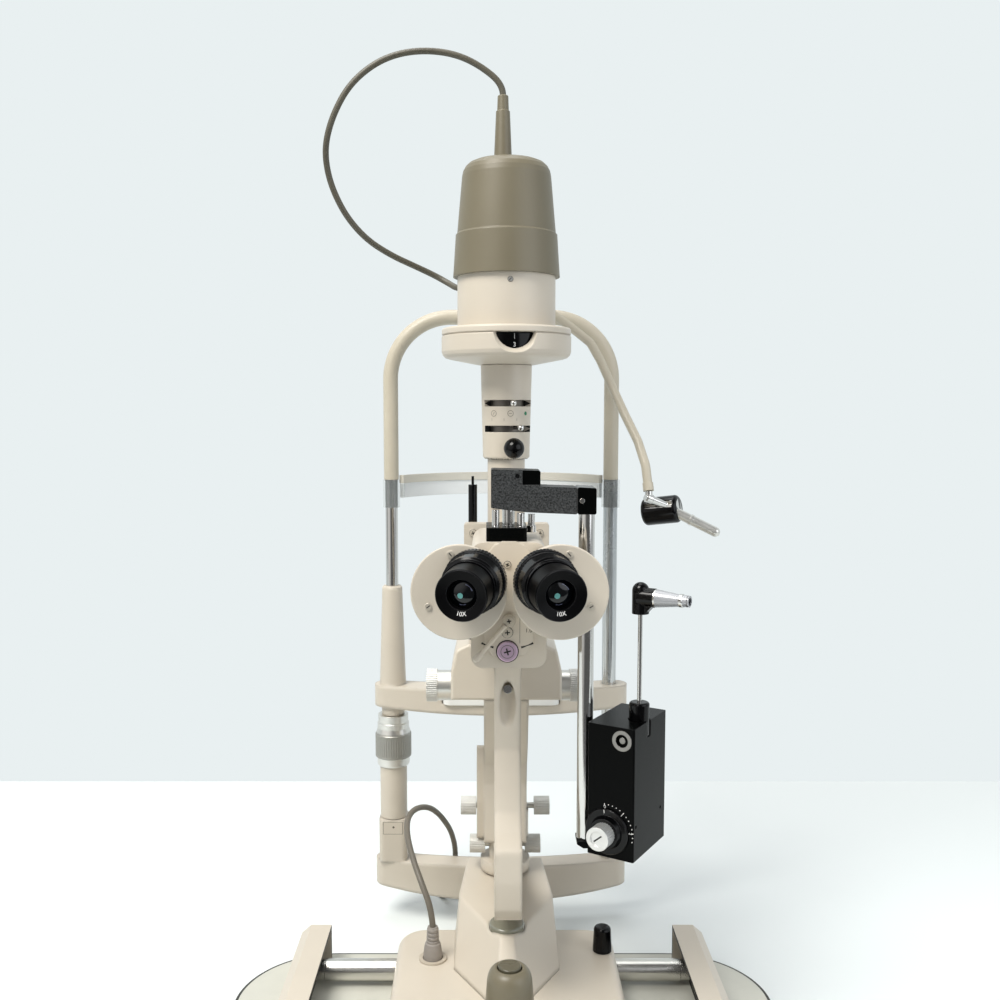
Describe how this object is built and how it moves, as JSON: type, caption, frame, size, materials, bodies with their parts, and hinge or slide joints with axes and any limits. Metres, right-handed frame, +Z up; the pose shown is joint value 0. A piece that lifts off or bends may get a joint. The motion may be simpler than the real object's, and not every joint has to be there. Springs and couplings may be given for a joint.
{
  "type": "slit lamp",
  "caption": "Slit lamp with binocular microscope, lamp tower, tonometer, joystick base on rails, and chin and forehead rest.",
  "frame": {"origin": "centre of the table plate's underside, which is also the centre of its four holes", "axes": "+X to the examiner's right, +Y from the examiner to the patient, +Z up"},
  "size_m": [0.44, 0.549, 0.7909],
  "materials": {
    "cream_paint": "satin",
    "grey_cap": "satin",
    "chrome": "polished",
    "satin_metal": "satin",
    "black_paint": "satin",
    "black_plastic": "gloss",
    "white_plastic": "satin",
    "cable_jacket": "matte",
    "plate_laminate": "laminate",
    "cream_cast": "painted",
    "clear_prism": "gloss"
  },
  "bodies": {
    "root": {"table_plate": "plate_laminate", "rail_covers": "cream_paint", "headrest_base_bar": "cream_paint", "headrest_posts": "chrome", "head_frame": "cream_paint", "forehead_band": "white_plastic"},
    "axle_carriage": {"axle_collars": "chrome"},
    "axle_shaft": {"axle": "chrome"},
    "base": {"base_housing": "cream_cast", "hump_cover": "cream_cast", "hump_cap": "cream_cast", "power_plug": "cable_jacket", "power_cable": "cable_jacket", "power_cable_coil": "cable_jacket"},
    "base_lock": {"lock_knob": "black_plastic"},
    "stick_ball": {"joystick_ball": "black_plastic"},
    "stick_stem": {"joystick_stem": "chrome"},
    "stick_grip": {"joystick_grip": "grey_cap"},
    "stick_button": {"joystick_button": "grey_cap"},
    "column": {"lift_column": "chrome"},
    "microscope": {"microscope_arm": "cream_cast", "microscope_body": "cream_cast", "mount_block": "black_paint"},
    "microscope_clamp": {"microscope_clamps": "satin_metal"},
    "latch": {"centring_latch": "chrome"},
    "lamp_arm": {"illumination_arm": "cream_cast", "slit_control_house": "cream_cast", "tower_stem": "cream_cast", "tower_neck": "cream_cast"},
    "lamp_clamp": {"lamp_clamps": "satin_metal"},
    "slit_control": {"slit_knobs": "satin_metal"},
    "slit_push_rod": {"push_rod": "black_plastic"},
    "filter_high": {"filter_lever_high": "chrome"},
    "filter_low": {"filter_lever_low": "chrome"},
    "aperture_lever": {"aperture_lever_ring": "black_plastic"},
    "lamp_head": {"slit_disc": "cream_cast", "lamp_cylinder": "cream_cast", "lamp_holder": "white_plastic", "lamp_cap": "grey_cap", "cable_strain_relief": "cable_jacket", "lamp_cable": "cable_jacket"},
    "scale_drum": {"aperture_scale_drum": "black_plastic"},
    "eye_left": {"eyepiece_housing_left": "cream_cast"},
    "eye_right": {"eyepiece_housing_right": "cream_cast"},
    "ocular_left": {"eyepiece_left": "black_plastic"},
    "ocular_right": {"eyepiece_right": "black_plastic"},
    "mag_lever": {"magnification_lever": "cream_cast"},
    "tonometer": {"tonometer_mount_arm": "black_paint", "tonometer_rod": "chrome", "tonometer_case": "black_paint"},
    "tonometer_drum": {"force_drum": "satin_metal"},
    "feeler": {"feeler_arm": "chrome", "prism_holder": "black_plastic"},
    "prism": {"tonometer_prism": "clear_prism"},
    "chin_rest": {"chin_rest_bar": "cream_paint", "chin_cup": "white_plastic"},
    "chin_nut": {"chin_rest_nut": "satin_metal"},
    "fix_arm": {"fixation_arm": "cream_paint"},
    "fix_lamp": {"fixation_lamp": "black_paint", "fixation_handle": "satin_metal"}
  },
  "joints": [
    {"name": "base_fore_aft", "type": "slide", "parent": "root", "child": "axle_carriage", "axis": [0, 1, 0], "range_m": [-0.035, 0.028], "deforming": ["power_cable"]},
    {"name": "axle_roll", "type": "hinge", "parent": "axle_carriage", "child": "axle_shaft", "pos_m": [0, 0.125, 0.027], "axis": [1, 0, 0], "range_deg": [-203.8, 254.2]},
    {"name": "base_sideways", "type": "slide", "parent": "axle_carriage", "child": "base", "axis": [1, 0, 0], "range_m": [-0.038, 0.032]},
    {"name": "base_lock_turn", "type": "hinge", "parent": "base", "child": "base_lock", "pos_m": [0.084, 0.125, 0.06], "axis": [0, 0, 1], "range_deg": [0, 120]},
    {"name": "joystick_fore_aft", "type": "hinge", "parent": "base", "child": "stick_ball", "pos_m": [0.003, -0.027, 0.044], "axis": [1, 0, 0], "range_deg": [-12, 12]},
    {"name": "joystick_sideways", "type": "hinge", "parent": "stick_ball", "child": "stick_stem", "pos_m": [0.003, -0.027, 0.044], "axis": [0, 1, 0], "range_deg": [-12, 12]},
    {"name": "joystick_turn", "type": "hinge", "parent": "stick_stem", "child": "stick_grip", "pos_m": [0.003, -0.027, 0.08], "axis": [0, 0, 1], "range_deg": [0, 902]},
    {"name": "joystick_button_press", "type": "slide", "parent": "stick_grip", "child": "stick_button", "axis": [0, 0, -1], "range_m": [0, 0.002], "stiffness_N_per_m": 400},
    {"name": "column_lift", "type": "slide", "parent": "base", "child": "column", "axis": [0, 0, 1], "range_m": [0, 0.03]},
    {"name": "microscope_swing", "type": "hinge", "parent": "column", "child": "microscope", "pos_m": [0.003, 0.195, 0.101], "axis": [0, 0, 1], "range_deg": [-45, 45]},
    {"name": "lamp_swing", "type": "hinge", "parent": "column", "child": "lamp_arm", "pos_m": [0.003, 0.195, 0.131], "axis": [0, 0, 1], "range_deg": [-45, 45]},
    {"name": "microscope_clamp_turn", "type": "hinge", "parent": "microscope", "child": "microscope_clamp", "pos_m": [0.003, 0.195, 0.1077], "axis": [1, 0, 0], "range_deg": [0, 90]},
    {"name": "lamp_clamp_turn", "type": "hinge", "parent": "lamp_arm", "child": "lamp_clamp", "pos_m": [0.003, 0.195, 0.143], "axis": [1, 0, 0], "range_deg": [0, 90]},
    {"name": "centring_latch_press", "type": "slide", "parent": "microscope", "child": "latch", "axis": [0, 1, 0], "range_m": [0, 0.0015], "stiffness_N_per_m": 300},
    {"name": "slit_width_turn", "type": "hinge", "parent": "lamp_arm", "child": "slit_control", "pos_m": [0.003, 0.155, 0.264], "axis": [1, 0, 0], "range_deg": [0, 240]},
    {"name": "slit_push_rod_lift", "type": "slide", "parent": "lamp_arm", "child": "slit_push_rod", "axis": [0, 0, 1], "range_m": [0, 0.0065]},
    {"name": "filter_high_turn", "type": "hinge", "parent": "lamp_arm", "child": "filter_high", "pos_m": [0.003, 0.155, 0.5035], "axis": [0, 0, 1], "range_deg": [-50, 40]},
    {"name": "filter_low_turn", "type": "hinge", "parent": "lamp_arm", "child": "filter_low", "pos_m": [0.003, 0.155, 0.4835], "axis": [0, 0, 1], "range_deg": [-50, 35]},
    {"name": "aperture_lever_turn", "type": "hinge", "parent": "lamp_arm", "child": "aperture_lever", "pos_m": [0.003, 0.155, 0.467], "axis": [0, 0, 1], "range_deg": [-8, 8]},
    {"name": "slit_rotation", "type": "hinge", "parent": "lamp_arm", "child": "lamp_head", "pos_m": [0.003, 0.155, 0.552], "axis": [0, 0, 1], "range_deg": [-90, 90]},
    {"name": "aperture_scale_turn", "type": "hinge", "parent": "lamp_head", "child": "scale_drum", "pos_m": [0.003, 0.155, 0.549], "axis": [0, 0, 1], "range_deg": [0, 300]},
    {"name": "pupil_distance_left", "type": "hinge", "parent": "microscope", "child": "eye_left", "pos_m": [-0.0322, 0.015, 0.3728], "axis": [0, 1, 0], "range_deg": [-15, 11]},
    {"name": "pupil_distance_right", "type": "hinge", "parent": "microscope", "child": "eye_right", "pos_m": [0.0382, 0.015, 0.3728], "axis": [0, 1, 0], "range_deg": [-11.1, 15.1]},
    {"name": "dioptre_left_turn", "type": "hinge", "parent": "eye_left", "child": "ocular_left", "pos_m": [-0.0193, -0.0125, 0.383], "axis": [-0.2156, -0.9726, -0.0868], "range_deg": [-90, 90]},
    {"name": "dioptre_right_turn", "type": "hinge", "parent": "eye_right", "child": "ocular_right", "pos_m": [0.0253, -0.0125, 0.383], "axis": [0.2156, -0.9726, -0.0868], "range_deg": [-90, 90]},
    {"name": "magnification_turn", "type": "hinge", "parent": "microscope", "child": "mag_lever", "pos_m": [0.003, 0.02, 0.347], "axis": [0, 1, 0], "range_deg": [-73, 0]},
    {"name": "tonometer_swing", "type": "hinge", "parent": "microscope", "child": "tonometer", "pos_m": [0.003, 0.05, 0.43], "axis": [0, 0, 1], "range_deg": [-4, 30]},
    {"name": "force_drum_turn", "type": "hinge", "parent": "tonometer", "child": "tonometer_drum", "pos_m": [0.0754, 0.02146, 0.1902], "axis": [-0.521, -0.8536, 0], "range_deg": [0, 280]},
    {"name": "feeler_tilt", "type": "hinge", "parent": "tonometer", "child": "feeler", "pos_m": [0.10003, 0.03723, 0.262], "axis": [0.521, 0.8536, 0], "range_deg": [-2, 2], "stiffness_Nm_per_rad": 1.5},
    {"name": "prism_turn", "type": "hinge", "parent": "feeler", "child": "prism", "pos_m": [0.10003, 0.03723, 0.3613], "axis": [0.8536, -0.521, 0], "range_deg": [-90, 90]},
    {"name": "chin_rest_lift", "type": "slide", "parent": "root", "child": "chin_rest", "axis": [0, 0, 1], "range_m": [0, 0.05]},
    {"name": "chin_nut_turn", "type": "hinge", "parent": "root", "child": "chin_nut", "pos_m": [-0.1046, 0.275, 0.175], "axis": [0, 0, 1], "range_deg": [0, 1802]},
    {"name": "fixation_swing", "type": "hinge", "parent": "root", "child": "fix_arm", "pos_m": [0.02, 0.275, 0.599], "axis": [0, 0, 1], "range_deg": [-30, 8]},
    {"name": "fixation_lamp_turn", "type": "hinge", "parent": "fix_arm", "child": "fix_lamp", "pos_m": [0.1293, 0.1957, 0.4205], "axis": [-0.8687, -0.3473, 0.3533], "range_deg": [-15, 45]}
  ],
  "couplings": [
    {"joint": "axle_roll", "follows": "base_fore_aft", "rad_per_m": -125.79},
    {"joint": "joystick_turn", "follows": "column_lift", "rad_per_m": 523.6},
    {"joint": "slit_push_rod_lift", "follows": "slit_width_turn", "m_per_rad": 0.001432},
    {"joint": "pupil_distance_right", "follows": "pupil_distance_left", "ratio": -1},
    {"joint": "chin_nut_turn", "follows": "chin_rest_lift", "rad_per_m": 628.32}
  ]
}
